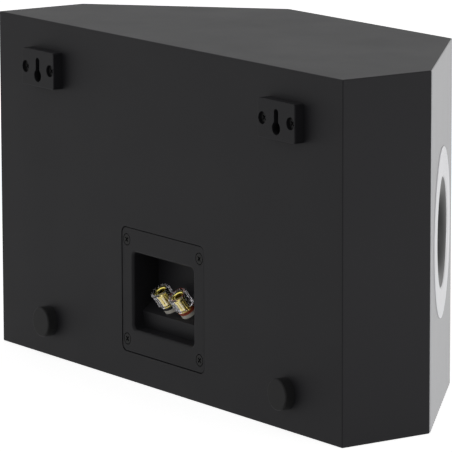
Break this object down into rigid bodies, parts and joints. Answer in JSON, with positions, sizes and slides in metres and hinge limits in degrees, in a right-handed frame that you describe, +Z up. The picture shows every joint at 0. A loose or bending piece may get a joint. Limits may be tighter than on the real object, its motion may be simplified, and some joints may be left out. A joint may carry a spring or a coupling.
{
  "type": "bookshelf speaker",
  "caption": "Shallow six-sided speaker cabinet with a woofer on the front, a tweeter on each slanted face, a recessed terminal cup and keyhole wall hangers.",
  "frame": {"origin": "centre of the underside of the box that holds the whole speaker", "axes": "+Z up, front face looks along -Y, back with the terminals looks along +Y, +X to the right as seen from the front"},
  "size_m": [0.38, 0.168, 0.221],
  "materials": {
    "vinyl": "satin black vinyl on board",
    "board": "bare board",
    "silver": "satin silver",
    "trim": "satin light grey",
    "black_plastic": "fine-grained satin black",
    "horn": "satin dark grey",
    "rubber": "matt black",
    "foam": "matt black foam",
    "black_steel": "black oxide",
    "basket": "satin black",
    "gold": "polished, gold plated",
    "pale_plastic": "satin cream",
    "clear": "clear",
    "red_plastic": "satin red",
    "band_black": "satin black",
    "nickel": "bright",
    "cone": "satin dark grey polypropylene",
    "former": "amber film",
    "copper": "enamelled copper wire",
    "spider": "impregnated cloth",
    "steel": "zinc plated",
    "ferrite": "matt dark grey",
    "dome": "satin",
    "wadding": "loose white wadding",
    "circuit": "green lacquer",
    "film": "yellow film",
    "ceramic": "white ceramic",
    "nylon": "natural nylon",
    "wire": "red and black insulation"
  },
  "bodies": {
    "cabinet": {"top_panel": "vinyl", "bottom_panel": "vinyl", "side_panel_left": "vinyl", "side_panel_right": "vinyl", "back_panel": "vinyl", "center_baffle": "board", "baffle_left": "board", "baffle_right": "board", "baffle_skin": "silver", "damping_pads": "wadding", "hanger_left": "black_plastic", "hanger_right": "black_plastic", "hanger_screws": "black_steel", "bumpers": "rubber", "terminal_cup": "black_plastic", "terminal_gasket": "foam", "terminal_screws": "black_steel", "post_shaft_red": "gold", "post_shaft_black": "gold", "post_base_rings": "pale_plastic", "post_nuts": "nickel", "solder_tags": "nickel", "woofer_trim_ring": "trim", "woofer_basket": "basket", "woofer_gasket": "foam", "woofer_surround": "rubber", "woofer_spider": "spider", "woofer_top_plate": "steel", "woofer_magnet": "ferrite", "woofer_yoke": "steel", "woofer_screws": "black_steel", "tweeter_rings": "trim", "tweeter_horns": "horn", "tweeter_surrounds": "rubber", "tweeter_top_plates": "steel", "tweeter_magnets": "ferrite", "tweeter_yokes": "steel", "tweeter_screws": "black_steel", "crossover_board": "circuit", "crossover_inductors": "copper", "crossover_capacitors": "film", "crossover_resistors": "ceramic", "crossover_standoffs": "nylon", "internal_wires": "wire"},
    "woofer_moving": {"woofer_cone": "cone", "woofer_dust_cap": "cone", "woofer_former": "former", "woofer_coil": "copper"},
    "tweeter_left_moving": {"tweeter_dome_left": "dome", "tweeter_coil_left": "copper"},
    "tweeter_right_moving": {"tweeter_dome_right": "dome", "tweeter_coil_right": "copper"},
    "clamp_red": {"clamp_washer_red": "red_plastic"},
    "clamp_black": {"clamp_washer_black": "band_black"},
    "cap_red": {"post_cap_red": "clear", "cap_insert_red": "gold", "cap_band_red": "red_plastic"},
    "cap_black": {"post_cap_black": "clear", "cap_insert_black": "gold", "cap_band_black": "band_black"}
  },
  "joints": [
    {"name": "woofer_travel", "type": "slide", "parent": "cabinet", "child": "woofer_moving", "axis": [0, -1, 0], "range_m": [-0.004, 0.004], "stiffness_N_per_m": 1100},
    {"name": "tweeter_left_travel", "type": "slide", "parent": "cabinet", "child": "tweeter_left_moving", "axis": [-0.6791, -0.7341, 0], "range_m": [-0.0004, 0.0004], "stiffness_N_per_m": 1500},
    {"name": "tweeter_right_travel", "type": "slide", "parent": "cabinet", "child": "tweeter_right_moving", "axis": [0.6791, -0.7341, 0], "range_m": [-0.0004, 0.0004], "stiffness_N_per_m": 1500},
    {"name": "clamp_red_slide", "type": "slide", "parent": "cabinet", "child": "clamp_red", "axis": [0, 0.6018, 0.7986], "range_m": [0, 0.004]},
    {"name": "cap_red_turn", "type": "hinge", "parent": "clamp_red", "child": "cap_red", "pos_m": [-0.00953, 0.063, 0.05025], "axis": [0, 0.6018, 0.7986], "range_deg": [0, 1810]},
    {"name": "clamp_black_slide", "type": "slide", "parent": "cabinet", "child": "clamp_black", "axis": [0, 0.6018, 0.7986], "range_m": [0, 0.004]},
    {"name": "cap_black_turn", "type": "hinge", "parent": "clamp_black", "child": "cap_black", "pos_m": [0.00953, 0.063, 0.05025], "axis": [0, 0.6018, 0.7986], "range_deg": [0, 1810]}
  ],
  "couplings": [
    {"joint": "cap_red_turn", "follows": "clamp_red_slide", "rad_per_m": 7854},
    {"joint": "cap_black_turn", "follows": "clamp_black_slide", "rad_per_m": 7854}
  ]
}
